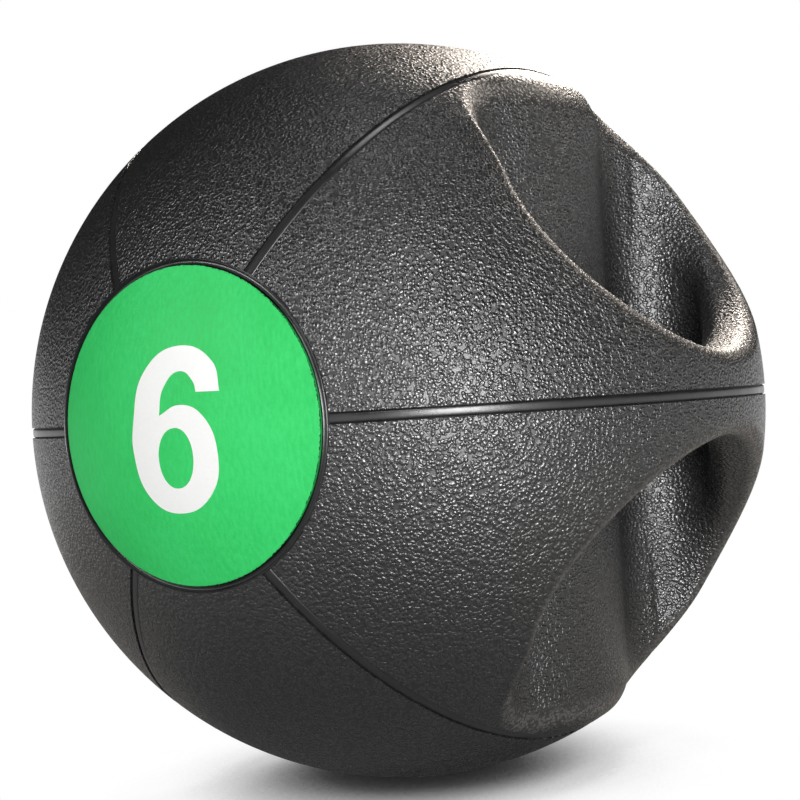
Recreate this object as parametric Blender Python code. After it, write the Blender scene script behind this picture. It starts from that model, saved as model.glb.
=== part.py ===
"""A 6 kg dual-grip rubber medicine ball, in metres, +Z up.

The origin is on the floor, in the middle of the flat spot that the ball rests on. The front disc faces -Y
and the two grips are at +X and -X. A thick core of two hollow halves is wrapped in six cover panels, and
each grip is a strap that the panels form over a stiff bar, with a finger slot behind it.
"""

import math

import bmesh
import bpy
from mathutils import Matrix, Vector

# Ball and its layers
BALL_RADIUS = 0.1375
COVER_THICKNESS = 0.005
CORE_WALL = 0.019
REST_DEPTH = 0.0012
FIT_GAP = 0.0003

# Seams between the panels, and the discs at the two poles
PANEL_COUNT = 6
SEAM_WIDTH = 0.003
SEAM_DEPTH = 0.0013
DISC_RADIUS = 0.0517
RING_WIDTH = 0.0028
NUMERAL_HEIGHT = 0.055
NUMERAL_DEPTH = 0.0012

# Grips: a strap, the finger slot behind it and the scoops above and below it
STRAP_THICKNESS = 0.0215
STRAP_WAIST = 0.0294
STRAP_EDGE = 0.003
FINGER_GAP = 0.0335
GRIP_LENGTH = 0.1205
SLOT_CORNER = 0.010
SCOOP_SHOULDER = 0.075
SCOOP_POWER = 1.75
BAR_THICKNESS = 0.009
BAR_HEIGHT = 0.016
BAR_ANCHOR = 0.016

# Tongue and groove between the core halves
TONGUE_WIDTH = 0.005
TONGUE_HEIGHT = 0.005
TONGUE_HALF_ANGLE = math.radians(30)

# Facets
FACET_ANGLE = math.radians(7.5)
CAVITY_FACET_ANGLE = math.radians(12)
SLOT_STEPS = 9
CORNER_STEPS = 5
TONGUE_STEPS = 8
CURVE_STEPS = 3
SHARP_ANGLE = math.radians(30)

# The numeral 6, drawn in parts of its height about the middle of the disc: (across, up, is a corner)
NUMERAL_OUTLINE = (
    (0.379, 0.191, True),
    (0.327, 0.373, False),
    (0.073, 0.482, False),
    (-0.182, 0.342, False),
    (-0.278, 0.036, False),
    (-0.293, -0.127, False),
    (-0.191, -0.424, False),
    (0.027, -0.516, False),
    (0.264, -0.409, False),
    (0.344, -0.182, False),
    (0.245, 0.076, False),
    (0.086, 0.134, False),
    (-0.055, 0.080, True),
    (-0.022, 0.227, False),
    (0.095, 0.321, False),
    (0.187, 0.260, False),
    (0.209, 0.194, True),
)
NUMERAL_COUNTER = (
    (0.045, -0.009, False),
    (0.164, -0.155, False),
    (0.036, -0.356, False),
    (-0.082, -0.200, False),
)

# Values that follow from those above
CENTRE_HEIGHT = BALL_RADIUS - REST_DEPTH
UNDER_COVER = BALL_RADIUS - COVER_THICKNESS
CORE_RADIUS = UNDER_COVER - FIT_GAP
CAVITY_RADIUS = CORE_RADIUS - CORE_WALL
RING_RADIUS = DISC_RADIUS + RING_WIDTH
SLOT_OUTER = BALL_RADIUS - STRAP_THICKNESS
SLOT_INNER = SLOT_OUTER - FINGER_GAP
SLOT_ANGLE = math.asin(GRIP_LENGTH / (SLOT_OUTER + SLOT_INNER))
BAR_RADIUS = (SLOT_OUTER + UNDER_COVER) / 2
BAR_END_ANGLE = SLOT_ANGLE + (COVER_THICKNESS + FIT_GAP + BAR_ANCHOR) / BAR_RADIUS
TONGUE_RADIUS = (CORE_RADIUS + CAVITY_RADIUS) / 2
FAR = 1.5 * BALL_RADIUS
FULL_TURN = 2 * math.pi
PANEL_ANGLE = FULL_TURN / PANEL_COUNT
SIDES = {"right": 0.0, "left": math.pi}
POLES = {"front": 0.0, "rear": math.pi}


def loft(rings, closed=False):
    """Joins rings of points by faces, and caps both ends unless the rings close on themselves."""
    shape = bmesh.new()
    loops = [[shape.verts.new(point) for point in ring] for ring in rings]
    pairs = list(zip(loops, loops[1:]))
    if closed:
        pairs.append((loops[-1], loops[0]))
    else:
        shape.faces.new(loops[0])
        shape.faces.new(loops[-1])
    for near, far in pairs:
        for i in range(len(near)):
            shape.faces.new((near[i - 1], near[i], far[i], far[i - 1]))
    return shape


def add_object(name, shape, material=None):
    """Links a shape that is drawn about the ball's centre. One without a material is a cutter."""
    bmesh.ops.recalc_face_normals(shape, faces=shape.faces)
    mesh = bpy.data.meshes.new(name)
    shape.to_mesh(mesh)
    shape.free()
    obj = bpy.data.objects.new(name, mesh)
    bpy.context.collection.objects.link(obj)
    obj.parent = centre
    if material is None:
        obj.hide_render = True
        obj.display_type = "WIRE"
    else:
        mesh.materials.append(material)
        mesh.shade_smooth()
        mesh.set_sharp_from_angle(angle=SHARP_ANGLE)
    return obj


def combine(obj, operation, *others):
    """Adds one Boolean modifier for each other object."""
    for other in others:
        modifier = obj.modifiers.new(other.name, "BOOLEAN")
        modifier.operation = operation
        modifier.object = other
    return obj


def add_material(name, colour, roughness):
    material = bpy.data.materials.new(name)
    material.use_nodes = True
    shader = material.node_tree.nodes["Principled BSDF"]
    shader.inputs["Base Color"].default_value = (*colour, 1.0)
    shader.inputs["Roughness"].default_value = roughness
    shader.inputs["Metallic"].default_value = 0.0
    material.diffuse_color = (*colour, 1.0)
    return material


def around(radius, angle, z):
    """A point at this angle about the vertical axis, from +X towards +Y."""
    return Vector((radius * math.cos(angle), radius * math.sin(angle), z))


def turned(points, axis, angle):
    return [Matrix.Rotation(angle, 3, axis) @ point for point in points]


def ball(radius, step):
    """A sphere with its poles at the discs, so that its meridians run along the seams."""
    shape = bmesh.new()
    segments = round(FULL_TURN / step)
    bmesh.ops.create_uvsphere(shape, u_segments=segments, v_segments=segments // 2, radius=radius)
    bmesh.ops.rotate(shape, verts=shape.verts, matrix=Matrix.Rotation(math.pi / 2, 3, "X"))
    bmesh.ops.triangulate(shape, faces=shape.faces)
    return shape


def lathe(profile, turn):
    """Turns (radius, height above the centre) pairs about the axis of one disc.

    Its corners lie half a facet away from the ball's meridians.
    """
    steps = round(FULL_TURN / FACET_ANGLE)
    section = [Vector((radius, -height, 0)) for radius, height in profile]
    section = turned(section, "Z", turn)
    angles = [(i + 0.5) * FACET_ANGLE for i in range(steps)]
    return loft([turned(section, "Y", angle) for angle in angles], closed=True)


def pole_cylinder(radius, turn):
    """A round bar on the axis of one disc, from just under the cover outwards."""
    floor = sphere_height(UNDER_COVER, RING_RADIUS) - 2 * COVER_THICKNESS
    angles = [(i + 0.5) * FACET_ANGLE for i in range(round(FULL_TURN / FACET_ANGLE))]
    rings = []
    for height in (floor, FAR):
        edge = Vector((radius, -height, 0))
        rings.append([turned(turned([edge], "Y", angle), "Z", turn)[0] for angle in angles])
    return loft(rings)


def sphere_height(sphere_radius, radius):
    """How high a sphere stands above the centre plane at this distance from its axis."""
    return math.sqrt(sphere_radius**2 - radius**2)


def arc_band(angles, middle, thickness, low, high):
    """A band about the vertical axis, through these angles."""
    inner = middle - thickness / 2
    outer = middle + thickness / 2
    return loft(
        [
            [around(inner, a, low), around(outer, a, low), around(outer, a, high), around(inner, a, high)]
            for a in angles
        ]
    )


def spread(start, end, steps):
    return [start + (end - start) * i / steps for i in range(steps + 1)]


def seam_band(polar_angles, seam_angle, inner, outer, width, closed=False):
    """A flat band in the plane of one seam, through these angles from the front pole."""
    outward = Vector((math.cos(seam_angle), 0, math.sin(seam_angle)))
    across = Vector((-math.sin(seam_angle), 0, math.cos(seam_angle))) * (width / 2)
    rings = []
    for angle in polar_angles:
        ray = outward * math.sin(angle) - Vector((0, math.cos(angle), 0))
        rings.append([ray * inner - across, ray * outer - across, ray * outer + across, ray * inner + across])
    return loft(rings, closed)


def seam_angles():
    """Angles along a strip from one ring to the other, on the facets of the ball."""
    end = math.asin((RING_RADIUS + 2 * FIT_GAP) / UNDER_COVER)
    steps = round(math.pi / FACET_ANGLE)
    inner = [i * FACET_ANGLE for i in range(steps) if end < i * FACET_ANGLE < math.pi - end]
    return [end, *inner, math.pi - end]


def panel_wedge(middle_angle):
    """The sixth of the ball that one panel may fill, half a gap clear of the seam planes."""
    apex = FIT_GAP / 2 / math.sin(PANEL_ANGLE / 2)
    corners = [(apex, 0)]
    for side in (-1, 1):
        reach = FAR * math.cos(PANEL_ANGLE / 2)
        corners.append((apex + reach, side * reach * math.tan(PANEL_ANGLE / 2)))
    rings = []
    for y in (-FAR, FAR):
        outline = [Vector((x, y, z)) for x, z in corners]
        rings.append(turned(outline, "Y", -middle_angle))
    return loft(rings)


def corner_reach(angle, distance, radius, side):
    """How far out a rounded corner of the slot lies at this angle, on its inner (-1) or outer (1) side."""
    centre_angle = SLOT_ANGLE - math.asin(radius / distance)
    turn = max(0.0, abs(angle) - centre_angle)
    chord = math.sqrt(max(0.0, radius**2 - (distance * math.sin(turn)) ** 2))
    return distance * math.cos(turn) + side * chord


def arch_height(angle):
    """Half the height of the strap: narrow at the waist, and flaring to the shoulder of the scoop."""
    share = min(1.0, abs(angle) / SLOT_ANGLE)
    rise = (1 - share**SCOOP_POWER) ** (1 / SCOOP_POWER)
    return SCOOP_SHOULDER - (SCOOP_SHOULDER - STRAP_WAIST / 2) * rise


def recess_section(angle):
    """The space of one grip at this angle: the slot, joined round the strap to the scoops."""
    inner = corner_reach(angle, SLOT_INNER + SLOT_CORNER, SLOT_CORNER, -1)
    outer = corner_reach(angle, SLOT_OUTER - SLOT_CORNER, SLOT_CORNER, 1)
    arch = arch_height(angle)
    upper = [(outer, arch - STRAP_EDGE), (outer + STRAP_EDGE, arch), (FAR, arch), (FAR, FAR), (inner, FAR)]
    lower = [(radius, -z) for radius, z in reversed(upper)]
    return upper + lower


def recess(turn):
    rings = []
    for step in range(-SLOT_STEPS, SLOT_STEPS + 1):
        angle = SLOT_ANGLE * math.sin(math.pi / 2 * step / SLOT_STEPS)
        rings.append([around(radius, angle + turn, z) for radius, z in recess_section(angle)])
    shape = loft(rings)
    bmesh.ops.triangulate(shape, faces=[face for face in shape.faces if len(face.verts) == 4])
    return shape


def bite(turn, offset):
    """An upright cut behind one grip, this far outside the walls of its slot and open to the outside."""
    distance = SLOT_INNER + SLOT_CORNER
    corner_angle = SLOT_ANGLE - math.asin(SLOT_CORNER / distance)
    corner = around(distance, corner_angle, 0)
    half = [around(SLOT_INNER - offset, a, 0) for a in spread(0, corner_angle, CORNER_STEPS)]
    for a in spread(corner_angle + math.pi, SLOT_ANGLE + math.pi / 2, CORNER_STEPS)[1:]:
        half.append(corner + around(SLOT_CORNER + offset, a, 0))
    half.append(half[-1] + around(FAR, SLOT_ANGLE, 0))
    outline = [Vector((p.x, -p.y, 0)) for p in reversed(half[1:])] + half
    outline = turned(outline, "Z", turn)
    up = Vector((0, 0, FAR))
    return loft([[p - up for p in outline], [p + up for p in outline]])


def bar(turn, gap):
    """The stiff bar inside one strap, with this much room round it."""
    end = BAR_END_ANGLE + gap / BAR_RADIUS
    angles = [turn + a for a in spread(-end, end, 2 * SLOT_STEPS)]
    half_height = BAR_HEIGHT / 2 + gap
    return arc_band(angles, BAR_RADIUS, BAR_THICKNESS + 2 * gap, -half_height, half_height)


def tongue(middle_angle, gap):
    """A rib on the joint of the core halves, rooted in the upper half."""
    reach = TONGUE_HALF_ANGLE + gap / TONGUE_RADIUS
    angles = spread(middle_angle - reach, middle_angle + reach, TONGUE_STEPS)
    return arc_band(angles, TONGUE_RADIUS, TONGUE_WIDTH + 2 * gap, -TONGUE_HEIGHT - gap, TONGUE_HEIGHT)


def half_space(low, high):
    corners = [around(FAR, math.radians(45 + 90 * i), 0) for i in range(4)]
    return loft([[Vector((p.x, p.y, z)) for p in corners] for z in (low, high)])


def numeral_prism(turn, gap):
    """The outline of the numeral, this much wider all round, drawn out along the axis of its disc."""
    curve = bpy.data.curves.new("numeral_outline", "CURVE")
    curve.dimensions = "2D"
    curve.fill_mode = "BOTH"
    curve.resolution_u = CURVE_STEPS
    curve.extrude = BALL_RADIUS / 4
    curve.offset = gap
    for points in (NUMERAL_OUTLINE, NUMERAL_COUNTER):
        spline = curve.splines.new("BEZIER")
        spline.bezier_points.add(len(points) - 1)
        spline.use_cyclic_u = True
        for point, (across, up, is_corner) in zip(spline.bezier_points, points):
            point.co = (across * NUMERAL_HEIGHT, up * NUMERAL_HEIGHT, 0)
            point.handle_left_type = "VECTOR" if is_corner else "AUTO"
            point.handle_right_type = point.handle_left_type
    holder = bpy.data.objects.new("numeral_outline", curve)
    mesh = bpy.data.meshes.new_from_object(holder)
    shape = bmesh.new()
    shape.from_mesh(mesh)
    bpy.data.objects.remove(holder)
    bpy.data.meshes.remove(mesh)
    bmesh.ops.remove_doubles(shape, verts=shape.verts, dist=FIT_GAP / 100)
    placing = Matrix.Rotation(turn, 4, "Z") @ Matrix.Translation((0, -BALL_RADIUS, 0))
    bmesh.ops.transform(shape, verts=shape.verts, matrix=placing @ Matrix.Rotation(math.pi / 2, 4, "X"))
    return shape


for old in list(bpy.data.objects):
    bpy.data.objects.remove(old, do_unlink=True)

centre = bpy.data.objects.new("ball_centre", None)
centre.location.z = CENTRE_HEIGHT
bpy.context.collection.objects.link(centre)

core_rubber = add_material("core_rubber", (0.030, 0.030, 0.032), 0.85)
grained_rubber = add_material("grained_rubber", (0.018, 0.018, 0.020), 0.55)
smooth_rubber = add_material("smooth_rubber", (0.012, 0.012, 0.013), 0.35)
bar_rubber = add_material("bar_rubber", (0.045, 0.045, 0.050), 0.70)
disc_green = add_material("disc_green", (0.055, 0.640, 0.170), 0.50)
numeral_white = add_material("numeral_white", (0.950, 0.950, 0.940), 0.50)

# Spaces that several pieces share
recesses = [add_object(f"recess_{side}", recess(turn)) for side, turn in SIDES.items()]
bar_pockets = [add_object(f"bar_pocket_{side}", bar(turn, FIT_GAP)) for side, turn in SIDES.items()]


def bitten_ball(name, radius, step, offset):
    """A ball with the two bites taken out, as a cutter."""
    bites = [add_object(f"{name}_bite_{side}", bite(turn, offset)) for side, turn in SIDES.items()]
    return combine(add_object(name, ball(radius, step)), "DIFFERENCE", *bites)


# The cover in one piece, before it is parted into panels
cover = add_object("cover", ball(BALL_RADIUS, FACET_ANGLE))
combine(cover, "DIFFERENCE", *recesses)
combine(cover, "DIFFERENCE", bitten_ball("cover_hollow", UNDER_COVER, FACET_ANGLE, COVER_THICKNESS))
combine(cover, "DIFFERENCE", *bar_pockets)
for pole, turn in POLES.items():
    combine(cover, "DIFFERENCE", add_object(f"disc_hole_{pole}", pole_cylinder(RING_RADIUS, turn)))
combine(cover, "DIFFERENCE", add_object("floor_cut", half_space(-FAR, -CENTRE_HEIGHT)))

# Channels for the seams, each a full circle that serves two opposite seams
circle = spread(0, FULL_TURN, round(FULL_TURN / FACET_ANGLE))[:-1]
channels = []
for i in range(PANEL_COUNT // 2):
    channel = seam_band(circle, i * PANEL_ANGLE, CORE_RADIUS, FAR, SEAM_WIDTH, closed=True)
    channels.append(add_object(f"seam_channel_{i}", channel))

# Cover panels, from the right-hand seam round over the top
PANEL_NAMES = (
    "panel_right_upper",
    "panel_top",
    "panel_left_upper",
    "panel_left_lower",
    "panel_bottom",
    "panel_right_lower",
)
for i, name in enumerate(PANEL_NAMES):
    panel = add_object(name, panel_wedge((i + 0.5) * PANEL_ANGLE), grained_rubber)
    combine(panel, "INTERSECT", cover)
    combine(panel, "DIFFERENCE", channels[i % len(channels)], channels[(i + 1) % len(channels)])

# Seam strips, in the same order
SEAM_NAMES = (
    "seam_strip_right",
    "seam_strip_top_right",
    "seam_strip_top_left",
    "seam_strip_left",
    "seam_strip_bottom_left",
    "seam_strip_bottom_right",
)
for i, name in enumerate(SEAM_NAMES):
    strip_width = SEAM_WIDTH - 2 * FIT_GAP
    strip = seam_band(seam_angles(), i * PANEL_ANGLE, UNDER_COVER, BALL_RADIUS - SEAM_DEPTH, strip_width)
    add_object(name, strip, smooth_rubber)

# Core halves, hollow and open to each other, with the bars' ends between them
cavity = bitten_ball("cavity", CAVITY_RADIUS, CAVITY_FACET_ANGLE, COVER_THICKNESS + FIT_GAP + CORE_WALL)
core = bitten_ball("core", CORE_RADIUS, FACET_ANGLE, COVER_THICKNESS + FIT_GAP)
combine(core, "DIFFERENCE", cavity, *bar_pockets)
upper_half = add_object("core_upper_half", half_space(FIT_GAP / 2, FAR), core_rubber)
lower_half = add_object("core_lower_half", half_space(-FAR, -FIT_GAP / 2), core_rubber)
for half in (upper_half, lower_half):
    combine(half, "INTERSECT", core)
for pole, turn in POLES.items():
    middle = turn - math.pi / 2
    combine(upper_half, "UNION", add_object(f"tongue_{pole}", tongue(middle, 0)))
    combine(lower_half, "DIFFERENCE", add_object(f"groove_{pole}", tongue(middle, FIT_GAP)))

# Bars inside the straps
for side, turn in SIDES.items():
    add_object(f"handle_bar_{side}", bar(turn, 0), bar_rubber)

# Discs with their rings and numerals
numeral_floor = add_object("numeral_floor", ball(BALL_RADIUS - NUMERAL_DEPTH, FACET_ANGLE))
pocket_floor = add_object("pocket_floor", ball(BALL_RADIUS - NUMERAL_DEPTH - FIT_GAP, FACET_ANGLE))
ball_skin = add_object("ball_skin", ball(BALL_RADIUS, FACET_ANGLE))
disc_floor = add_object("disc_floor", ball(UNDER_COVER, FACET_ANGLE))
ring_inner = DISC_RADIUS + FIT_GAP
ring_outer = RING_RADIUS - FIT_GAP
ring_top = BALL_RADIUS - SEAM_DEPTH
RING_SECTION = (
    (ring_inner, sphere_height(ring_top, ring_inner)),
    (ring_outer, sphere_height(ring_top, ring_outer)),
    (ring_outer, sphere_height(UNDER_COVER, ring_outer)),
    (ring_inner, sphere_height(UNDER_COVER, ring_inner)),
)
for pole, turn in POLES.items():
    add_object(f"rim_ring_{pole}", lathe(RING_SECTION, turn), smooth_rubber)
    numeral = add_object(f"numeral_{pole}", numeral_prism(turn, 0), numeral_white)
    combine(numeral, "INTERSECT", ball_skin)
    combine(numeral, "DIFFERENCE", numeral_floor)
    pocket = add_object(f"numeral_pocket_{pole}", numeral_prism(turn, FIT_GAP))
    combine(pocket, "DIFFERENCE", pocket_floor)
    disc = add_object(f"weight_disc_{pole}", pole_cylinder(DISC_RADIUS, turn), disc_green)
    combine(disc, "INTERSECT", ball_skin)
    combine(disc, "DIFFERENCE", disc_floor, pocket)
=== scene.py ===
# %% [markdown]
# # A dual-grip rubber medicine ball
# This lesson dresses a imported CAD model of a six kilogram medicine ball. The CAD model is loaded
# first and stays where it is. Each cell then makes one visible piece, or one finish, and prints
# what it made.

# %% Load the CAD model
import math

import bpy
import numpy as np
from mathutils import Matrix, Vector


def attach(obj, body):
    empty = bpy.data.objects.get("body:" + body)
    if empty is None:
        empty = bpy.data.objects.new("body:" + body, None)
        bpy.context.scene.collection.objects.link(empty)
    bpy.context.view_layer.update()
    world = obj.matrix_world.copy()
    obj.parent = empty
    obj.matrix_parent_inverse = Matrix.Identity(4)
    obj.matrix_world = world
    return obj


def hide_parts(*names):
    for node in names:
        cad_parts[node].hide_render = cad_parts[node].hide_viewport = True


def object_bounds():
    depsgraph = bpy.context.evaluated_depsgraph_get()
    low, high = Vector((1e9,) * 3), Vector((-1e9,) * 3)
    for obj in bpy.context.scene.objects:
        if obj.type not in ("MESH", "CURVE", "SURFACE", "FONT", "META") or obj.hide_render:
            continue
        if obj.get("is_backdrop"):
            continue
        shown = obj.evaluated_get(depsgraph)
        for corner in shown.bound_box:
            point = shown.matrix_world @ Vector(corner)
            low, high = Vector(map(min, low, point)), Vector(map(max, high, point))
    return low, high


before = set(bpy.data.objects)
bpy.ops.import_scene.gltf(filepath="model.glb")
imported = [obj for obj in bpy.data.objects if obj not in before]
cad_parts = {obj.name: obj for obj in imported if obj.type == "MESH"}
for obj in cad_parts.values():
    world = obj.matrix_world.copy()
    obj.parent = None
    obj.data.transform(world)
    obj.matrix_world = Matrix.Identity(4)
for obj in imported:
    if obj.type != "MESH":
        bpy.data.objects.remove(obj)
cad_low, cad_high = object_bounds()
print("CAD nodes:", len(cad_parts))

# %% [markdown]
# The sizes below are in metres. They follow the CAD model's, and a few differ from them a little,
# to sit closer to the picture. The ball's radius is half of its depth along Y, and its centre hangs
# one radius under its top. Everything is drawn about that centre, because the ball's shapes are all
# turned or mirrored about it.

# %% Sizes of the ball
RADIUS = (cad_high.y - cad_low.y) / 2
CENTRE = Vector((0, 0, cad_high.z - RADIUS))
DISC_RADIUS = 0.0520
SLOT_INNER = 0.0810
SLOT_OUTER = 0.116
SLOT_ANGLE = math.radians(37.4)
SLOT_CORNER = 0.0160
SCOOP_SHOULDER = 0.075
SCOOP_POWER = 1.75
STRAP_HALF_WAIST = 0.0147
SEAM_HALF_WIDTH = 0.0019
print("radius", round(RADIUS, 4), "centre height", round(CENTRE.z, 4))

# %% [markdown]
# The camera stands where the picture was taken: a little to the right of the front disc and level
# with the ball's middle, with a long lens and a slight roll. Its axes are written as the columns of
# a matrix, which is the plainest way to give a camera a measured direction. The small shift puts
# the ball where the picture has it.

# %% Camera
CAMERA_RIGHT = (0.8434, 0.5338, -0.0608)
CAMERA_BACK = (0.5352, -0.8447, 0.0091)
CAMERA_PLACE = (0.3663, -0.5780, 0.1425)
CAMERA_LENS = 80.52
CAMERA_SHIFT = (0.0015, 0.0129)


def add_camera():
    bpy.ops.object.select_all(action="DESELECT")
    bpy.ops.object.camera_add()
    camera = bpy.context.object
    camera.name = "photo_camera"
    right = Vector(CAMERA_RIGHT).normalized()
    back = Vector(CAMERA_BACK).normalized()
    up = back.cross(right).normalized()
    turn = Matrix((right, up, back)).transposed().to_4x4()
    camera.matrix_world = Matrix.Translation(CAMERA_PLACE) @ turn
    camera.data.sensor_width = 36
    camera.data.lens = CAMERA_LENS
    camera.data.shift_x, camera.data.shift_y = CAMERA_SHIFT
    camera.data.clip_start = 0.01
    bpy.context.scene.camera = camera
    return camera


photo_camera = add_camera()
print("camera at", [round(v, 3) for v in photo_camera.location])

# %% [markdown]
# A few habits of the hand, as functions: pick one object, work on it in edit mode, and apply a
# modifier. Every operator in Blender acts on what is selected, so each one starts by clearing the
# selection.

# %% Working habits
def pick(obj):
    bpy.ops.object.select_all(action="DESELECT")
    obj.select_set(True)
    bpy.context.view_layer.objects.active = obj


def start_edit(obj, select="SELECT"):
    pick(obj)
    bpy.ops.object.mode_set(mode="EDIT")
    bpy.ops.mesh.select_mode(type="VERT")
    bpy.ops.mesh.select_all(action=select)


def end_edit():
    bpy.ops.object.mode_set(mode="OBJECT")


def fix_place(obj):
    """Puts the object's place into its mesh, so that its origin is the scene's."""
    pick(obj)
    bpy.ops.object.transform_apply(location=True, rotation=True, scale=True)


def apply_modifier(obj, kind, **settings):
    pick(obj)
    modifier = obj.modifiers.new(kind.lower(), kind)
    for key, value in settings.items():
        setattr(modifier, key, value)
    bpy.ops.object.modifier_apply(modifier=modifier.name)


def cut_away(obj, point, outward, fill=False):
    """Bisects the whole mesh and clears what lies outside of the plane."""
    start_edit(obj)
    bpy.ops.mesh.bisect(plane_co=point, plane_no=outward, use_fill=fill, clear_outer=True)
    end_edit()


def turned_copy(obj, name, axis):
    """A copy with its own mesh, turned by half a turn about an axis through the ball's centre."""
    pick(obj)
    bpy.ops.object.duplicate(linked=False)
    copy = bpy.context.object
    copy.name = name
    start_edit(copy)
    bpy.ops.transform.rotate(
        value=math.pi, orient_axis=axis, orient_type="GLOBAL", center_override=CENTRE
    )
    end_edit()
    return copy


def points_of(obj):
    points = np.empty(len(obj.data.vertices) * 3)
    obj.data.vertices.foreach_get("co", points)
    return points.reshape(-1, 3)


def set_points(obj, points):
    obj.data.vertices.foreach_set("co", points.ravel())
    obj.data.update()


def shade(obj, angle=40):
    pick(obj)
    bpy.ops.object.shade_smooth_by_angle(angle=math.radians(angle))


def triangles(obj):
    return sum(len(face.vertices) - 2 for face in obj.data.polygons)


def seam_normal(angle):
    """The direction across the seam at this angle about the discs' axis, from +X towards +Z."""
    return Vector((-math.sin(angle), 0, math.cos(angle)))


# %% [markdown]
# The top and bottom panels are plain sixths of a sphere. A sphere with its poles at the discs is
# cut by four planes: two beside the seams and two at the rings. Solidify then makes the skin five
# millimetres thick. The bottom panel is squeezed flat where the ball stands on the floor, as heavy
# rubber is.

# %% Plain panels
RING_EDGE = 0.0544
RING_PLANE = math.sqrt(RADIUS**2 - RING_EDGE**2)
COVER_THICKNESS = 0.005
EDGE_GAP = 0.00004
PANEL_SEGMENTS = 300
PANEL_RINGS = 240


def pole_sphere(name, radius, segments, rings):
    bpy.ops.object.select_all(action="DESELECT")
    bpy.ops.mesh.primitive_uv_sphere_add(
        segments=segments,
        ring_count=rings,
        radius=radius,
        location=CENTRE,
        rotation=(math.pi / 2, 0, 0),
    )
    sphere = bpy.context.object
    sphere.name = name
    fix_place(sphere)
    return sphere


def cut_at_rings(obj):
    for side in (-1, 1):
        cut_away(obj, CENTRE + Vector((0, side * RING_PLANE, 0)), (0, side, 0))


def cut_at_seam(obj, angle, side, gap=SEAM_HALF_WIDTH + EDGE_GAP):
    """Clears what lies past a seam: side 1 keeps the part before it, and -1 the part after it."""
    across = seam_normal(angle) * side
    cut_away(obj, CENTRE - across * gap, across)


def plain_panel(name, first_seam, second_seam):
    panel = pole_sphere(name, RADIUS, PANEL_SEGMENTS, PANEL_RINGS)
    cut_at_rings(panel)
    cut_at_seam(panel, math.radians(first_seam), -1)
    cut_at_seam(panel, math.radians(second_seam), 1)
    return panel


def flatten_foot(panel):
    """Presses what hangs below the floor flat onto it."""
    start_edit(panel, "DESELECT")
    end_edit()
    for vertex in panel.data.vertices:
        vertex.select = vertex.co.z < 0
    bpy.ops.object.mode_set(mode="EDIT")
    bpy.ops.transform.resize(value=(1, 1, 0), orient_type="GLOBAL", center_override=(0, 0, 0))
    end_edit()


panel_top = plain_panel("cover_top", 60, 120)
panel_bottom = plain_panel("cover_bottom", 240, 300)
flatten_foot(panel_bottom)
for panel in (panel_top, panel_bottom):
    apply_modifier(panel, "SOLIDIFY", thickness=COVER_THICKNESS, offset=-1)
    shade(panel)
    print(panel.name, triangles(panel), "triangles")

# %% [markdown]
# A grip panel is a sixth of the ball too, but a hand's room is scooped out of it, and a strap is
# left across. The lips of the scoop are rounded by different amounts: tight at the sides, softer at
# the waist of the strap, and broadest at the top. No bevel can follow that, so it is made as a
# sculptor would. The room is roughly cut with Booleans, the result is remeshed into even little
# squares, and the squares are then pressed onto the true surface, which a formula gives as a
# distance.

# %% The true surface of the grip
SIDE_LIP = 0.0044
WAIST_LIP = 0.0056
TOP_LIP = 0.0062
WAIST_LIP_HEIGHTS = (0.045, 0.018)
TOP_LIP_HEIGHTS = (0.082, 0.108)
STRAP_EDGE_RADIUS = 0.0065
SCOOP_INSET = 0.0014
SLOT_MIDDLE = (SLOT_OUTER + SLOT_INNER) / 2
SLOT_WIDTH = SLOT_OUTER - SLOT_INNER


def smooth_step(value, start, end):
    share = np.clip((value - start) / (end - start), 0, 1)
    return share * share * (3 - 2 * share)


def rounded_both(a, b, radius):
    """The distance to what two shapes share, with a rounded edge."""
    corner = np.hypot(np.maximum(a + radius, 0), np.maximum(b + radius, 0))
    return np.minimum(-radius, np.maximum(a, b)) + corner


def rounded_either(a, b, radius):
    """The distance to two shapes together, with a rounded hollow between them."""
    corner = np.hypot(np.maximum(radius - a, 0), np.maximum(radius - b, 0))
    return np.maximum(radius, np.minimum(a, b)) - corner


def grip_room(x, y, z):
    """The distance to the room behind and around the strap, negative inside it."""
    reach = np.hypot(x, y)
    angle = np.abs(np.arctan2(y, x))
    height = np.abs(z)
    ring = np.abs(reach - SLOT_MIDDLE) - SLOT_WIDTH / 2
    slot = rounded_both(ring, reach * np.sin(angle - SLOT_ANGLE), SLOT_CORNER)
    half_angle = SLOT_ANGLE - SCOOP_INSET / SLOT_OUTER
    rise = SCOOP_SHOULDER - STRAP_HALF_WAIST
    across = angle / half_angle
    up = np.maximum(SCOOP_SHOULDER - height, 0) / rise
    arch = np.maximum((across**SCOOP_POWER + up**SCOOP_POWER) ** (1 / SCOOP_POWER), 1e-3)
    steep = arch ** (1 - SCOOP_POWER)
    slope_across = steep * across ** (SCOOP_POWER - 1) / (half_angle * reach)
    slope_up = steep * up ** (SCOOP_POWER - 1) / rise
    scoop = (arch - 1) / np.maximum(np.hypot(slope_across, slope_up), 1e-6)
    scoop = np.maximum(scoop, SLOT_MIDDLE - reach)
    return rounded_either(slot, scoop, STRAP_EDGE_RADIUS)


def lip_radius(points):
    """How round the lip is at each point, which depends on the height alone."""
    height = np.abs(points[:, 2])
    lip = SIDE_LIP + (WAIST_LIP - SIDE_LIP) * smooth_step(height, *WAIST_LIP_HEIGHTS)
    return lip + (TOP_LIP - SIDE_LIP) * smooth_step(height, *TOP_LIP_HEIGHTS)


def grip_surface(points):
    """The distance to the rubber of a grip, negative inside it."""
    ball = np.linalg.norm(points, axis=1) - RADIUS
    return rounded_both(ball, -grip_room(*points.T), lip_radius(points))


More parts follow.
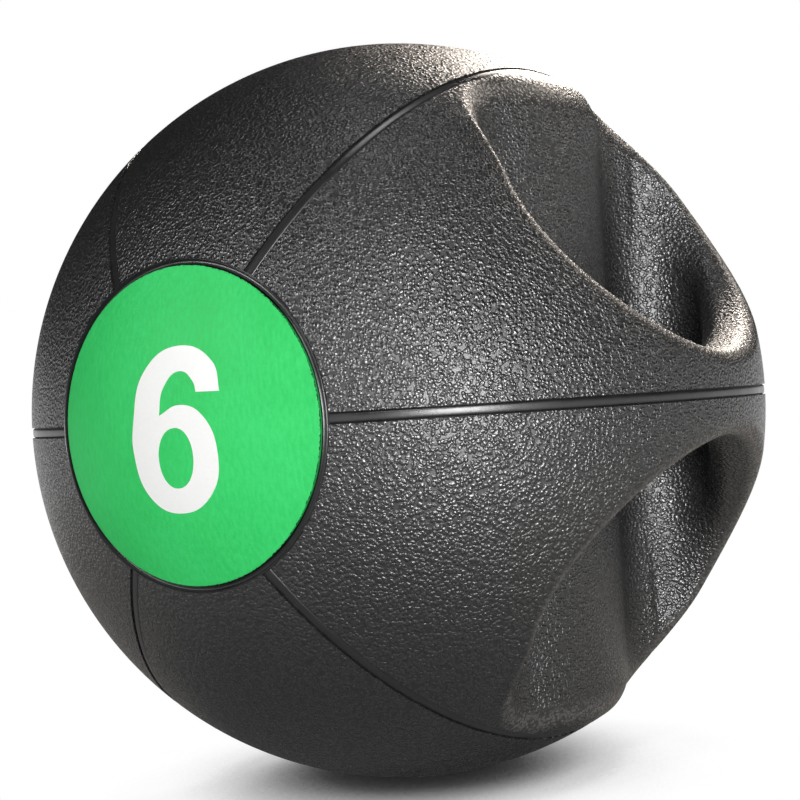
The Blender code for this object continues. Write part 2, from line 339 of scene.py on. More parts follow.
def lip_share(points):
    """How far a point is on a lip: 1 at its crest and 0 where the lip runs out."""
    lip = lip_radius(points)
    ball = np.maximum(np.linalg.norm(points, axis=1) - RADIUS + lip, 0)
    room = np.maximum(lip - grip_room(*points.T), 0)
    return 2 * ball * room / np.maximum(ball**2 + room**2, 1e-9)


print("strap thickness at the waist", round(RADIUS - SLOT_OUTER, 4))

# %% [markdown]
# The rough cut only has to be near. The slot is a rectangle spun about the upright axis, and the
# scoop is an arch whose outline is pushed outwards from that axis.

# %% Rough cut of one grip
SPARE = 0.008
UPPER_SEAM = seam_normal(math.radians(60))
CUTTER_TOP = 0.2


def slot_cutter():
    bpy.ops.object.select_all(action="DESELECT")
    bpy.ops.mesh.primitive_plane_add(size=1, rotation=(math.pi / 2, 0, 0))
    cutter = bpy.context.object
    fix_place(cutter)
    start_edit(cutter)
    bpy.ops.transform.resize(value=(SLOT_WIDTH, 1, 2 * CUTTER_TOP), center_override=(0, 0, 0))
    bpy.ops.transform.translate(value=(SLOT_INNER + SLOT_WIDTH / 2, 0, CENTRE.z))
    bpy.ops.transform.rotate(value=-SLOT_ANGLE, orient_axis="Z", center_override=(0, 0, 0))
    bpy.ops.mesh.spin(steps=24, angle=2 * SLOT_ANGLE, center=(0, 0, 0), axis=(0, 0, 1))
    bpy.ops.mesh.select_all(action="SELECT")
    bpy.ops.mesh.remove_doubles(threshold=1e-6)
    bpy.ops.mesh.normals_make_consistent(inside=False)
    end_edit()
    return cutter


def scoop_cutter():
    steps = 20
    outline = [(SLOT_ANGLE, CUTTER_TOP)]
    for i in range(2 * steps + 1):
        angle = SLOT_ANGLE * math.cos(math.pi * i / (2 * steps))
        share = (1 - abs(angle / SLOT_ANGLE) ** SCOOP_POWER) ** (1 / SCOOP_POWER)
        outline.append((angle, SCOOP_SHOULDER - (SCOOP_SHOULDER - STRAP_HALF_WAIST) * share))
    outline.append((-SLOT_ANGLE, CUTTER_TOP))
    bpy.ops.object.select_all(action="DESELECT")
    bpy.ops.mesh.primitive_circle_add(vertices=len(outline), radius=0.1, fill_type="NGON")
    cutter = bpy.context.object
    for vertex, (angle, height) in zip(cutter.data.vertices, outline):
        across, out = SLOT_MIDDLE * math.sin(angle), SLOT_MIDDLE * math.cos(angle)
        vertex.co = (out, across, CENTRE.z + height)
    start_edit(cutter)
    bpy.ops.mesh.extrude_region_move()
    bpy.ops.transform.resize(value=(2, 2, 1), center_override=(0, 0, 0))
    bpy.ops.mesh.select_all(action="SELECT")
    bpy.ops.mesh.normals_make_consistent(inside=False)
    end_edit()
    return cutter


def combine(obj, operation, other):
    """Applies a Boolean with another object, which is then thrown away."""
    apply_modifier(obj, "BOOLEAN", object=other, operation=operation, solver="EXACT")
    bpy.data.objects.remove(other)


def rough_grip():
    block = pole_sphere("grip_block", RADIUS, 120, 60)
    cut_away(block, CENTRE - Vector((0, 0, SPARE)), (0, 0, -1), fill=True)
    cut_away(block, CENTRE + UPPER_SEAM * SPARE, UPPER_SEAM, fill=True)
    for side in (-1, 1):
        beyond_ring = CENTRE + Vector((0, side * (RING_PLANE + SPARE), 0))
        cut_away(block, beyond_ring, (0, side, 0), fill=True)
    for cutter in (slot_cutter(), scoop_cutter()):
        combine(block, "DIFFERENCE", cutter)
    return block


grip = rough_grip()
print("rough grip", triangles(grip), "triangles")

# %% [markdown]
# Remesh turns the rough block into squares of about a millimetre. Each point near the surface then
# steps along the slope of the distance until the distance is nought, and between the steps the mesh
# is relaxed so that its squares stay even. At the end each point notes how far it is on a lip,
# because hands wear the lips smooth, and because the lips are painted paler, partly as wear and
# partly as a painted highlight along them.

# %% Press the grip onto its true surface
GRID = 0.0012
SKIN_DEPTH = 0.007
PRESS_ROUNDS = 6
STEPS_A_ROUND = 3
LAST_STEPS = 5
RELAX_SHARE = 0.5
SLOPE_STEP = 1e-5
LEAST_SLOPE = 0.05
LONGEST_STEP = 0.0015


def press(points, steps):
    """Moves each point along the slope of the distance towards the true surface."""
    for _ in range(steps):
        distance = grip_surface(points)
        slope = np.empty_like(points)
        for axis in range(3):
            moved = points.copy()
            moved[:, axis] += SLOPE_STEP
            slope[:, axis] = (grip_surface(moved) - distance) / SLOPE_STEP
        steep = np.maximum((slope**2).sum(axis=1), LEAST_SLOPE)
        points = points - slope * np.clip(distance / steep, -LONGEST_STEP, LONGEST_STEP)[:, None]
    return points


def press_grip(obj):
    centre = np.array(CENTRE)
    points = points_of(obj) - centre
    edges = np.empty(len(obj.data.edges) * 2, dtype=np.int64)
    obj.data.edges.foreach_get("vertices", edges)
    first, second = edges.reshape(-1, 2).T
    count = np.bincount(edges, minlength=len(points))[:, None]
    skin = np.abs(grip_surface(points)) < SKIN_DEPTH
    skin &= points[:, 2] > GRID - SPARE
    skin &= points @ np.array(UPPER_SEAM) < SPARE - GRID
    skin &= np.abs(points[:, 1]) < RING_PLANE + SPARE - GRID
    for _ in range(PRESS_ROUNDS):
        points[skin] = press(points[skin], STEPS_A_ROUND)
        total = np.zeros_like(points)
        np.add.at(total, first, points[second])
        np.add.at(total, second, points[first])
        relaxed = points + RELAX_SHARE * (total / count - points)
        points[skin] = relaxed[skin]
    points[skin] = press(points[skin], LAST_STEPS)
    miss = float(np.abs(grip_surface(points[skin])).max())
    print("largest miss, mm", round(1000 * miss, 4))
    set_points(obj, points + centre)
    # This mask makes the lips paler: partly wear, partly a painted highlight along the lips.
    worn_and_highlight = np.ones((len(points), 4))
    worn_and_highlight[:, :3] = (lip_share(points) * skin)[:, None]
    attribute = obj.data.color_attributes.new("worn_and_highlight", "FLOAT_COLOR", "POINT")
    attribute.data.foreach_set("color", worn_and_highlight.ravel())


apply_modifier(grip, "REMESH", mode="VOXEL", voxel_size=GRID)
press_grip(grip)
print("pressed grip", triangles(grip), "triangles")

# %% [markdown]
# The pressed block is trimmed to a skin: at the upper seam, at the rings, and at the middle of the
# ball. On the outside it stops short of the middle, to leave room for the seam strip, and inside
# the slot it runs right up to its neighbour. The other three grip panels are this one, turned about
# the three axes.

# %% Grip panels
MEETING_GAP = 0.00015
SKIN_THICKNESS = 0.0022
SKIN_BAND = 0.002
MERGE_REACH = 0.00008


def trim_outer_skin(obj):
    """Cuts the ball's own surface back from the middle seam, and leaves the inside of the slot alone."""
    start_edit(obj, "DESELECT")
    bpy.ops.mesh.select_mode(type="FACE")
    end_edit()
    for face in obj.data.polygons:
        away = Vector(face.center) - CENTRE
        face.select = away.length > RADIUS - SKIN_BAND and away.z < 3 * SEAM_HALF_WIDTH
    bpy.ops.object.mode_set(mode="EDIT")
    edge = CENTRE + Vector((0, 0, SEAM_HALF_WIDTH + EDGE_GAP))
    bpy.ops.mesh.bisect(plane_co=edge, plane_no=(0, 0, -1), clear_outer=True)
    end_edit()


grip.name = "cover_right_upper"
cut_at_rings(grip)
cut_at_seam(grip, math.radians(60), 1)
cut_at_seam(grip, 0, -1, gap=MEETING_GAP)
trim_outer_skin(grip)
start_edit(grip)
bpy.ops.mesh.remove_doubles(threshold=MERGE_REACH)
end_edit()
apply_modifier(grip, "SOLIDIFY", thickness=SKIN_THICKNESS, offset=-1)
shade(grip, 50)
grip_panels = {
    "panel_right_upper": grip,
    "panel_right_lower": turned_copy(grip, "cover_right_lower", "X"),
    "panel_left_upper": turned_copy(grip, "cover_left_upper", "Z"),
    "panel_left_lower": turned_copy(grip, "cover_left_lower", "Y"),
}
for panel in grip_panels.values():
    print(panel.name, triangles(panel), "triangles")

# %% [markdown]
# Each seam is a smooth moulded band between two grained panels, a little under their faces, with a
# narrow crevice along each edge. Half of its section is drawn once, from the hidden foot up through
# the crevice to the crown of the band. It is mirrored and spun about the axis that stands across
# the seam. The rings round the discs are the same idea, spun the whole way round.

# %% Seam strips
STRIP_FOOT = -0.0045
STRIP_HALF_SECTION = (
    (0.00190, STRIP_FOOT),
    (0.00190, -0.00055),
    (0.00184, -0.00085),
    (0.00172, -0.00098),
    (0.00160, -0.00092),
    (0.00148, -0.00070),
    (0.00136, -0.00052),
    (0.00118, -0.00042),
    (0.00090, -0.00036),
    (0.00050, -0.00033),
    (0.0, -0.00032),
)
STRIP_END = math.asin((RING_EDGE + 0.0001) / RADIUS)
STRIP_STEPS = 140
FULL_TURN = 2 * math.pi


def spun_section(name, section, start, sweep, axis, steps):
    """Spins a closed section, given as points in space, about an axis through the ball's centre."""
    bpy.ops.object.select_all(action="DESELECT")
    bpy.ops.mesh.primitive_circle_add(vertices=len(section), radius=0.01, fill_type="NGON")
    piece = bpy.context.object
    piece.name = name
    for vertex, point in zip(piece.data.vertices, section):
        vertex.co = CENTRE + Matrix.Rotation(start, 3, axis) @ point
    start_edit(piece)
    if sweep == FULL_TURN:
        bpy.ops.mesh.delete(type="ONLY_FACE")
        bpy.ops.mesh.select_all(action="SELECT")
    bpy.ops.mesh.spin(steps=steps, angle=sweep, center=CENTRE, axis=-axis)
    bpy.ops.mesh.select_all(action="SELECT")
    bpy.ops.mesh.remove_doubles(threshold=1e-7)
    bpy.ops.mesh.normals_make_consistent(inside=False)
    end_edit()
    shade(piece, 50)
    return piece


def seam_strip(name, angle):
    outward = Vector((math.cos(angle), 0, math.sin(angle)))
    across = seam_normal(angle)
    half = list(STRIP_HALF_SECTION)
    profile = half + [(-side, depth) for side, depth in reversed(half[:-1])]
    front = Vector((0, -1, 0))
    section = [across * side + front * (RADIUS + depth) for side, depth in profile]
    axis = front.cross(outward)
    return spun_section(name, section, STRIP_END, math.pi - 2 * STRIP_END, axis, STRIP_STEPS)


SEAMS = ("right", "top_right", "top_left", "left", "bottom_left", "bottom_right")
strips = {}
for i, seam in enumerate(SEAMS):
    strips["seam_strip_" + seam] = seam_strip("channel_" + seam, math.radians(60 * i))
for strip in strips.values():
    print(strip.name, triangles(strip), "triangles")

# %% [markdown]
# The ring groove has a rounded outer edge, where a thin line of light sits, and a floor that runs
# in under the edge of the disc. Its section is given as distances from the discs' axis and depths
# from the ball's surface.

# %% Rings round the discs
RING_SECTION = (
    (DISC_RADIUS + 0.0001, -0.0045),
    (DISC_RADIUS + 0.0001, -0.00125),
    (0.0525, -0.00145),
    (0.0530, -0.00145),
    (0.0533, -0.00125),
    (0.0535, -0.00085),
    (0.05365, -0.00035),
    (0.0538, 0.00006),
    (0.05392, 0.00024),
    (0.05405, 0.00026),
    (0.0542, 0.00012),
    (RING_EDGE - 0.00005, -0.00006),
    (RING_EDGE - 0.00005, -0.0045),
)
RING_STEPS = 240


def disc_ring(name, side):
    section = []
    for out, depth in RING_SECTION:
        level = RADIUS + depth
        section.append(Vector((out, side * math.sqrt(level**2 - out**2), 0)))
    return spun_section(name, section, 0, FULL_TURN, Vector((0, 1, 0)), RING_STEPS)


rings = {
    "rim_ring_front": disc_ring("ring_front", -1),
    "rim_ring_rear": disc_ring("ring_rear", 1),
}
for ring in rings.values():
    print(ring.name, triangles(ring), "triangles")

# %% [markdown]
# The disc is a cap of the ball's own sphere, with its edge eased. The numeral is let into it: its
# outline is a pair of smooth curves, filled, pushed through the disc and trimmed to a thin domed
# inlay. A prism that is a hair wider cuts the pocket that it sits in.

# %% Discs and numerals
NUMERAL_HEIGHT = 0.0541
NUMERAL_DEPTH = 0.0012
NUMERAL_RISE = 0.00005
NUMERAL_TRIM = -0.0003
POCKET_TRIM = -0.00028
PRISM_REACH = 0.02
DISC_EDGE = 0.0004
NUMERAL_OUTLINE = (
    (0.379, 0.191, True),
    (0.327, 0.373, False),
    (0.073, 0.482, False),
    (-0.182, 0.342, False),
    (-0.278, 0.036, False),
    (-0.293, -0.127, False),
    (-0.191, -0.424, False),
    (0.027, -0.516, False),
    (0.264, -0.409, False),
    (0.344, -0.182, False),
    (0.245, 0.076, False),
    (0.086, 0.134, False),
    (-0.055, 0.080, True),
    (-0.022, 0.227, False),
    (0.095, 0.321, False),
    (0.187, 0.260, False),
    (0.209, 0.194, True),
)
NUMERAL_COUNTER = (
    (0.045, -0.009, False),
    (0.164, -0.155, False),
    (0.036, -0.356, False),
    (-0.082, -0.200, False),
)


def numeral_prism(name, grow):
    """The filled outline of the six, drawn out through the front disc."""
    bpy.ops.object.select_all(action="DESELECT")
    curve = bpy.data.curves.new(name, "CURVE")
    curve.dimensions = "2D"
    curve.fill_mode = "BOTH"
    curve.resolution_u = 10
    curve.extrude = PRISM_REACH
    curve.offset = grow
    for outline in (NUMERAL_OUTLINE, NUMERAL_COUNTER):
        spline = curve.splines.new("BEZIER")
        spline.bezier_points.add(len(outline) - 1)
        spline.use_cyclic_u = True
        for point, (across, up, is_corner) in zip(spline.bezier_points, outline):
            point.co = (across * NUMERAL_HEIGHT, up * NUMERAL_HEIGHT, 0)
            point.handle_left_type = "VECTOR" if is_corner else "AUTO"
            point.handle_right_type = point.handle_left_type
    prism = bpy.data.objects.new(name, curve)
    bpy.context.collection.objects.link(prism)
    pick(prism)
    bpy.ops.object.convert(target="MESH")
    prism.rotation_euler = (math.pi / 2, 0, 0)
    prism.location = CENTRE + Vector((0, -RADIUS, 0))
    fix_place(prism)
    start_edit(prism)
    bpy.ops.mesh.remove_doubles(threshold=1e-6)
    bpy.ops.mesh.normals_make_consistent(inside=False)
    end_edit()
    return prism


def fine_sphere(name, radius):
    return pole_sphere(name, radius, 192, 240)


def disc_cap(name, radius, reach):
    """A cap of a sphere about the front pole, 5 mm thick."""
    cap = fine_sphere(name, radius)
    plane = math.sqrt(radius**2 - reach**2)
    cut_away(cap, CENTRE + Vector((0, -plane, 0)), (0, 1, 0))
    apply_modifier(cap, "SOLIDIFY", thickness=COVER_THICKNESS, offset=-1)
    return cap


disc_front = disc_cap("disc_front", RADIUS, DISC_RADIUS)
apply_modifier(
    disc_front, "BEVEL", width=DISC_EDGE, segments=3, limit_method="ANGLE", angle_limit=math.radians(50)
)
pocket = numeral_prism("pocket", POCKET_TRIM)
combine(pocket, "DIFFERENCE", fine_sphere("pocket_floor", RADIUS - NUMERAL_DEPTH))
combine(disc_front, "DIFFERENCE", pocket)
numeral_front = numeral_prism("six_front", NUMERAL_TRIM)
combine(numeral_front, "INTERSECT", fine_sphere("six_top", RADIUS + NUMERAL_RISE))
combine(numeral_front, "DIFFERENCE", fine_sphere("six_floor", RADIUS - NUMERAL_DEPTH))
for piece in (disc_front, numeral_front):
    shade(piece, 30)
    print(piece.name, triangles(piece), "triangles")
disc_rear = turned_copy(disc_front, "disc_rear", "Z")
numeral_rear = turned_copy(numeral_front, "six_rear", "Z")

# %% [markdown]
# Now the finishes. Each is a small net of nodes, and these helpers add one node, or a few that
# belong together. All patterns read object coordinates, which stay with the surface in every view.

# %% Node helpers
def new_finish(name):
    finish = bpy.data.materials.new(name)
    finish.use_nodes = True
    tree = finish.node_tree
    shader = tree.nodes["Principled BSDF"]
    return finish, tree, shader


def node(tree, kind, **settings):
    made = tree.nodes.new(kind)
    for key, value in settings.items():
        setattr(made, key, value)
    return made


def place_of(tree):
    return node(tree, "ShaderNodeTexCoord").outputs["Object"]


def noise(tree, place, scale, detail=2.0):
    made = node(tree, "ShaderNodeTexNoise")
    made.inputs["Scale"].default_value = scale
    made.inputs["Detail"].default_value = detail
    tree.links.new(place, made.inputs["Vector"])
    return made


def spread_to(tree, value, low, high, to_low, to_high):
    made = node(tree, "ShaderNodeMapRange")
    sockets = ("From Min", "From Max", "To Min", "To Max")
    for socket, number in zip(sockets, (low, high, to_low, to_high)):
        made.inputs[socket].default_value = number
    tree.links.new(value, made.inputs["Value"])
    return made.outputs["Result"]


def blend_colours(tree, share, first, second):
    made = node(tree, "ShaderNodeMix", data_type="RGBA")
    tree.links.new(share, made.inputs["Factor"])
    for socket, colour in ((made.inputs[6], first), (made.inputs[7], second)):
        if isinstance(colour, tuple):
            socket.default_value = (*colour, 1.0)
        else:
            tree.links.new(colour, socket)
    return made.outputs[2]


def maths(tree, operation, first, second):
    made = node(tree, "ShaderNodeMath", operation=operation)
    for socket, value in zip(made.inputs, (first, second)):
        if isinstance(value, float):
            socket.default_value = value
        else:
            tree.links.new(value, socket)
    return made.outputs["Value"]


def bump(tree, shader, height, strength, distance):
    made = node(tree, "ShaderNodeBump")
    made.inputs["Strength"].default_value = strength
    made.inputs["Distance"].default_value = distance
    tree.links.new(height, made.inputs["Height"])
    tree.links.new(made.outputs["Normal"], shader.inputs["Normal"])


def bent_place(tree, place, scale, reach):
    """The same coordinates, pushed about by noise."""
    push = noise(tree, place, scale)
    centred = node(tree, "ShaderNodeVectorMath", operation="SUBTRACT")
    tree.links.new(push.outputs["Color"], centred.inputs[0])
    centred.inputs[1].default_value = (0.5, 0.5, 0.5)
    scaled = node(tree, "ShaderNodeVectorMath", operation="SCALE")
    tree.links.new(centred.outputs["Vector"], scaled.inputs[0])
    scaled.inputs["Scale"].default_value = reach
    added = node(tree, "ShaderNodeVectorMath", operation="ADD")
    tree.links.new(place, added.inputs[0])
    tree.links.new(scaled.outputs["Vector"], added.inputs[1])
    return added.outputs["Vector"]


def pebbled(tree, place, scale):
    """The distance from the middle of the nearest pebble."""
    made = node(tree, "ShaderNodeTexVoronoi")
    made.inputs["Scale"].default_value = scale
    tree.links.new(place, made.inputs["Vector"])
    return made.outputs["Distance"]


print("node helpers ready")

# %% [markdown]
# The cover is black rubber with a pebbled grain: wavy domes about a millimetre and a half across
# with valleys darkened by painted shade. A Voronoi pattern gives the domes, its coordinates are first
# bent by noise so that no two domes are alike, and the height goes into a bump. The tops are smoother
# than the valleys. Where the points noted a lip, the grain is lower, as hands wear it, and the rubber
# is paler: partly wear and partly a painted highlight along the lips.

# %% Grained rubber
GRAIN_BEND = (520, 0.0016)
GRAIN_SCALE = 800
GRAIN_HEIGHT = 0.00027
WORN_HEIGHT = 0.70
TOP_COLOURS = ((0.009, 0.009, 0.0093), (0.015, 0.015, 0.0155))
# Painted shade: the valleys are coloured darker to stand in for the shade that falls in them.
VALLEY_SHADE_COLOUR = (0.0015, 0.0015, 0.0015)
# The lips' colours: paler partly from wear and partly as a painted highlight.
WORN_AND_HIGHLIGHT_COLOURS = ((0.022, 0.021, 0.020), (0.094, 0.091, 0.088))
VALLEY_ROUGHNESS = 0.40
TOP_ROUGHNESS = 0.27


def grained_rubber():
    finish, tree, shader = new_finish("grained_rubber")
    place = place_of(tree)
    pebbles = pebbled(tree, bent_place(tree, place, *GRAIN_BEND), GRAIN_SCALE)
    domes = spread_to(tree, maths(tree, "MULTIPLY", pebbles, pebbles), 0.0, 0.5, 1.0, 0.0)
    fine = noise(tree, place, 3000, 2).outputs["Fac"]
    height = maths(tree, "ADD", domes, maths(tree, "MULTIPLY", fine, 0.2))
    worn_and_highlight = node(tree, "ShaderNodeVertexColor", layer_name="worn_and_highlight").outputs["Color"]
    height = maths(tree, "MULTIPLY", height, spread_to(tree, worn_and_highlight, 0.0, 1.0, 1.0, WORN_HEIGHT))
    bump(tree, shader, height, 1.0, GRAIN_HEIGHT)
    patches = noise(tree, place, 16, 3).outputs["Fac"]
    tops = blend_colours(tree, patches, *TOP_COLOURS)
    raised = spread_to(tree, domes, 0.25, 0.62, 0.0, 1.0)
    # Painted shade darkens the valleys of the grain.
    rubber = blend_colours(tree, raised, VALLEY_SHADE_COLOUR, tops)
    # Paler lips: partly wear, partly a painted highlight.
    worn_and_highlight_lips = blend_colours(tree, raised, *WORN_AND_HIGHLIGHT_COLOURS)
    colour = blend_colours(tree, maths(tree, "MULTIPLY", worn_and_highlight, worn_and_highlight), rubber, worn_and_highlight_lips)
    tree.links.new(colour, shader.inputs["Base Color"])
    roughness = spread_to(tree, raised, 0.0, 1.0, VALLEY_ROUGHNESS, TOP_ROUGHNESS)
    tree.links.new(roughness, shader.inputs["Roughness"])
    shader.inputs["Specular IOR Level"].default_value = 1.0
    shader.inputs["IOR"].default_value = 1.62
    return finish


grained = grained_rubber()
print("made", grained.name)

# %% [markdown]
# The seams and rings come out of the mould smooth: they have no grain, and a shine with a little
# unevenness in it. The core and the bars are inside and matt.

# %% Smooth, core and bar rubber
def smooth_rubber():
    finish, tree, shader = new_finish("smooth_rubber")
    place = place_of(tree)
    patches = noise(tree, place, 90, 3).outputs["Fac"]
    colour = blend_colours(tree, patches, (0.010, 0.010, 0.011), (0.024, 0.024, 0.025))
    tree.links.new(colour, shader.inputs["Base Color"])
    tree.links.new(spread_to(tree, patches, 0.3, 0.7, 0.24, 0.36), shader.inputs["Roughness"])
    bump(tree, shader, noise(tree, place, 700, 2).outputs["Fac"], 0.2, 0.0001)
    shader.inputs["Specular IOR Level"].default_value = 0.8
    return finish


def matt_rubber(name, dark, pale, scale):
    finish, tree, shader = new_finish(name)
    place = place_of(tree)
    speckle = noise(tree, place, scale, 4).outputs["Fac"]
    tree.links.new(blend_colours(tree, speckle, dark, pale), shader.inputs["Base Color"])
    tree.links.new(spread_to(tree, speckle, 0.3, 0.7, 0.7, 0.9), shader.inputs["Roughness"])
    bump(tree, shader, speckle, 0.4, 0.0003)
    return finish


smooth = smooth_rubber()
core_finish = matt_rubber("core_rubber", (0.018, 0.018, 0.019), (0.040, 0.040, 0.042), 260)
bar_finish = matt_rubber("bar_rubber", (0.030, 0.030, 0.034), (0.060, 0.060, 0.066), 180)
print("made", smooth.name, core_finish.name, bar_finish.name)

# %% [markdown]
# The disc is printed green over the rubber. The print has a fine streaky grain, is a little uneven
# in tone, and breaks up at its very edge, where the black shows through. The distance from the
# disc's axis, roughened by noise, finds that edge. The numeral is printed white and nearly plain.

# %% Green print and white numeral
GREENS = ((0.024, 0.540, 0.112), (0.044, 0.650, 0.162))
WHITES = ((0.90, 0.90, 0.885), (0.96, 0.96, 0.95))
RUBBER_UNDER_PRINT = (0.012, 0.012, 0.012)
PRINT_STRETCH = (1.0, 1.0, 0.35)
PRINT_BEND = (500, 0.0016)
PRINT_GRAIN = 900
RAGGED_EDGE = 0.0010
PRINT_ENDS = (DISC_RADIUS + 0.00025, DISC_RADIUS + 0.00040)


def add_print_grain(tree, place, shader, strength, distance):
    grain = pebbled(tree, bent_place(tree, place, *PRINT_BEND), PRINT_GRAIN)
    bump(tree, shader, grain, strength, distance)


def green_print():
    finish, tree, shader = new_finish("disc_green")
    place = place_of(tree)
    mapping = node(tree, "ShaderNodeMapping")
    mapping.inputs["Scale"].default_value = PRINT_STRETCH
    tree.links.new(place, mapping.inputs["Vector"])
    streaks = noise(tree, mapping.outputs["Vector"], 900, 3).outputs["Fac"]
    patches = noise(tree, place, 25, 2).outputs["Fac"]
    half_streaks = maths(tree, "MULTIPLY", streaks, 0.5)
    half_patches = maths(tree, "MULTIPLY", patches, 0.5)
    tone = maths(tree, "ADD", half_streaks, half_patches)
    share = spread_to(tree, tone, 0.35, 0.65, 0.0, 1.0)
    green = blend_colours(tree, share, *GREENS)
    split = node(tree, "ShaderNodeSeparateXYZ")
    tree.links.new(place, split.inputs["Vector"])
    x = split.outputs["X"]
    z = maths(tree, "SUBTRACT", split.outputs["Z"], float(CENTRE.z))
    squares = maths(tree, "ADD", maths(tree, "MULTIPLY", x, x), maths(tree, "MULTIPLY", z, z))
    out = maths(tree, "POWER", squares, 0.5)
    ragged = maths(tree, "MULTIPLY", noise(tree, place, 1300, 2).outputs["Fac"], RAGGED_EDGE)
    edge = spread_to(tree, maths(tree, "ADD", out, ragged), *PRINT_ENDS, 0.0, 1.0)
    colour = blend_colours(tree, edge, green, RUBBER_UNDER_PRINT)
    tree.links.new(colour, shader.inputs["Base Color"])
    tree.links.new(spread_to(tree, streaks, 0.3, 0.7, 0.45, 0.60), shader.inputs["Roughness"])
    add_print_grain(tree, place, shader, 0.25, 0.00015)
    shader.inputs["Specular IOR Level"].default_value = 0.3
    return finish


def white_print():
    finish, tree, shader = new_finish("numeral_white")
    place = place_of(tree)
    speckle = noise(tree, place, 900, 3).outputs["Fac"]
    tree.links.new(blend_colours(tree, speckle, *WHITES), shader.inputs["Base Color"])
    tree.links.new(spread_to(tree, speckle, 0.3, 0.7, 0.45, 0.60), shader.inputs["Roughness"])
    add_print_grain(tree, place, shader, 0.15, 0.00012)
    shader.inputs["Specular IOR Level"].default_value = 0.3
    return finish


green = green_print()
white = white_print()
print("made", green.name, white.name)

# %% [markdown]
# Now every piece gets its finish, rides on the ball's one body, and takes the place of its CAD
# node. The core halves and the bars keep their CAD shapes.

# %% Dress the ball
def dress(piece, node_name, finish):
    piece.data.materials.clear()
    piece.data.materials.append(finish)
    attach(piece, "root")
    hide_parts(node_name)


plain_panels = {"panel_top": panel_top, "panel_bottom": panel_bottom}
for node_name, panel in {**grip_panels, **plain_panels}.items():
    dress(panel, node_name, grained)
for node_name, piece in {**strips, **rings}.items():
    dress(piece, node_name, smooth)
for node_name, disc in {"weight_disc_front": disc_front, "weight_disc_rear": disc_rear}.items():
    dress(disc, node_name, green)
for node_name, numeral in {"numeral_front": numeral_front, "numeral_rear": numeral_rear}.items():
    dress(numeral, node_name, white)
for node_name, finish in {
    "core_upper_half": core_finish,
    "core_lower_half": core_finish,
    "handle_bar_right": bar_finish,
    "handle_bar_left": bar_finish,
}.items():
    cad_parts[node_name].data.materials.clear()
    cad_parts[node_name].data.materials.append(finish)

# %% [markdown]
# The ball stands on a plain floor that is white to the camera. Near the ball that white is darkened
# into a painted soft shadow, worked out from ambient occlusion, and further away it runs into the
# white behind it. Reflections meet that white at the horizon, and the light on the ball comes from
# the lamps.

# %% Floor and surround
FLOOR_RADIUS = 6
FLOOR_DROP = 0.0002
FLOOR_GREY = (0.45, 0.45, 0.45, 1.0)
# Painted shadow: how far, and how deep, the floor's white darkens with ambient occlusion near the ball.
PAINTED_SHADOW_REACH = 0.6
PAINTED_SHADOW_TONES = (0.10, 0.48, 0.02, 1.0)
MIRRORED_FROM = (0.50, 1.00)
HORIZON_BAND = (0.03, 0.10)
DARK_ROOM = (0.02, 0.02, 0.021)
WHITE = (1.0, 1.0, 1.0)


def add_floor():
    bpy.ops.object.select_all(action="DESELECT")
    bpy.ops.mesh.primitive_circle_add(
        vertices=96, radius=FLOOR_RADIUS, fill_type="NGON", location=(0, 0, -FLOOR_DROP)
    )
    floor = bpy.context.object
    floor.name = "floor"
    fix_place(floor)
    finish, tree, shader = new_finish("floor_white")
    shader.inputs["Base Color"].default_value = FLOOR_GREY
    shader.inputs["Roughness"].default_value = 0.9
    shader.inputs["Specular IOR Level"].default_value = 0.0
    # Painted shadow: the floor's white glow is darkened by ambient occlusion near the ball.
    closed_in = node(tree, "ShaderNodeAmbientOcclusion", samples=16)
    closed_in.inputs["Distance"].default_value = PAINTED_SHADOW_REACH
    tone = spread_to(tree, closed_in.outputs["AO"], *PAINTED_SHADOW_TONES)
    white_light = node(tree, "ShaderNodeEmission")
    tree.links.new(tone, white_light.inputs["Color"])
    away = node(tree, "ShaderNodeVectorMath", operation="LENGTH")
    tree.links.new(place_of(tree), away.inputs[0])
    far = spread_to(tree, away.outputs["Value"], *MIRRORED_FROM, 0.0, 1.0)
    ray = node(tree, "ShaderNodeLightPath").outputs
    mirrored = maths(tree, "MAXIMUM", ray["Is Glossy Ray"], ray["Is Transmission Ray"])
    either = maths(tree, "MAXIMUM", ray["Is Camera Ray"], maths(tree, "MULTIPLY", mirrored, far))
    mix = node(tree, "ShaderNodeMixShader")
    tree.links.new(either, mix.inputs["Fac"])
    tree.links.new(shader.outputs["BSDF"], mix.inputs[1])
    tree.links.new(white_light.outputs["Emission"], mix.inputs[2])
    tree.links.new(mix.outputs["Shader"], tree.nodes["Material Output"].inputs["Surface"])
    floor.data.materials.append(finish)
    floor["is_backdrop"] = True
    return floor


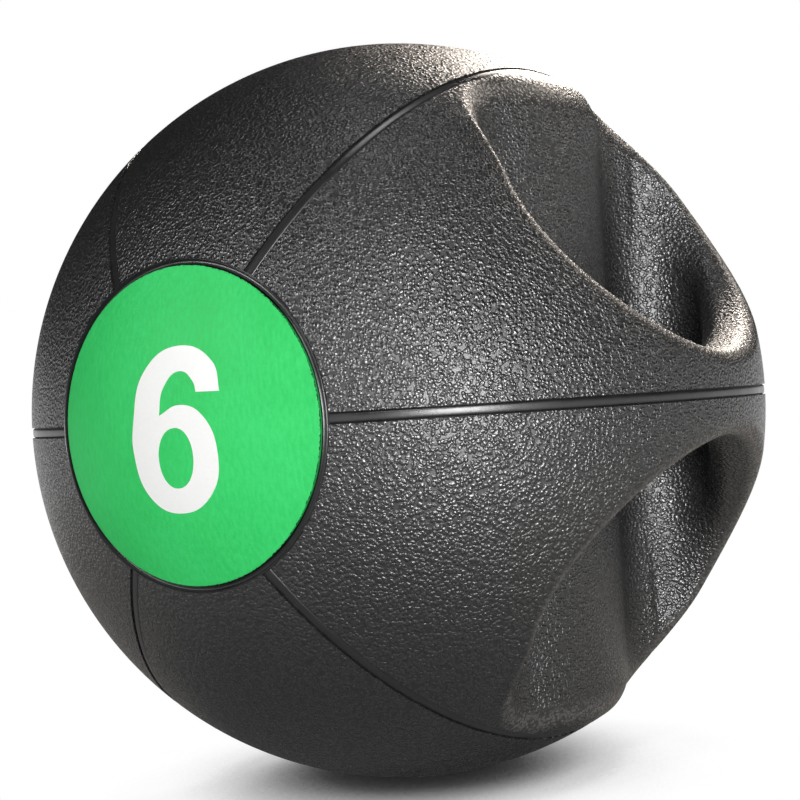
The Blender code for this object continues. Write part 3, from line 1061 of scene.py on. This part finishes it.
def add_surround():
    world = bpy.data.worlds.new("surround")
    world.use_nodes = True
    bpy.context.scene.world = world
    tree = world.node_tree
    split = node(tree, "ShaderNodeSeparateXYZ")
    direction = node(tree, "ShaderNodeTexCoord").outputs["Generated"]
    tree.links.new(direction, split.inputs["Vector"])
    horizon = spread_to(tree, split.outputs["Z"], *HORIZON_BAND, 1.0, 0.0)
    ray = node(tree, "ShaderNodeLightPath").outputs
    straight = maths(tree, "MAXIMUM", ray["Is Camera Ray"], ray["Is Transmission Ray"])
    mirrored = maths(tree, "MULTIPLY", ray["Is Glossy Ray"], horizon)
    share = maths(tree, "MAXIMUM", straight, mirrored)
    colour = blend_colours(tree, share, DARK_ROOM, WHITE)
    tree.links.new(colour, tree.nodes["Background"].inputs["Color"])


floor = add_floor()
add_surround()
print("floor", floor.name, "under", bpy.context.scene.world.name)

# %% [markdown]
# Six soft lamps, all aimed at the ball. Two at the right of the front draw the broad sheen, one at
# the left fills in the disc, and a weak one hangs overhead. Two warm ones behind light the lips and
# the edge of the handle.

# %% Lamps
LAMP_DISTANCE = 1.4
LAMP_SIZE = 0.4
WARM = (1.0, 0.90, 0.80)


def add_lamp(name, turn, rise, power, colour=WHITE):
    """A square lamp aimed at the ball. It turns from the front disc towards the right handle."""
    turn, rise = math.radians(turn), math.radians(rise)
    level = math.cos(rise)
    outward = Vector((math.sin(turn) * level, -math.cos(turn) * level, math.sin(rise)))
    bpy.ops.object.select_all(action="DESELECT")
    bpy.ops.object.light_add(type="AREA", location=CENTRE + LAMP_DISTANCE * outward)
    lamp = bpy.context.object
    lamp.name = name
    lamp.data.shape = "SQUARE"
    lamp.data.size = LAMP_SIZE
    lamp.data.energy = power
    lamp.data.color = colour
    lamp.rotation_mode = "QUATERNION"
    lamp.rotation_quaternion = (-outward).to_track_quat("-Z", "Y")
    return lamp


lamps = [
    add_lamp("lamp_key", 49, 4, 14),
    add_lamp("lamp_upper", 38, 34, 2.5),
    add_lamp("lamp_fill", -25, 22, 5.5),
    add_lamp("lamp_top", 0, 89, 2),
    add_lamp("lamp_back", 190, 36, 11, WARM),
    add_lamp("lamp_right", 150, 38, 3, WARM),
]
bpy.context.scene.view_settings.view_transform = "Standard"
print("lamps:", [lamp.name for lamp in lamps])

# %% Finish
seen_low, seen_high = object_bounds()
differences = [*(seen_low - cad_low), *(seen_high - cad_high)]
print("largest difference, mm", round(1000 * max(abs(v) for v in differences), 2))
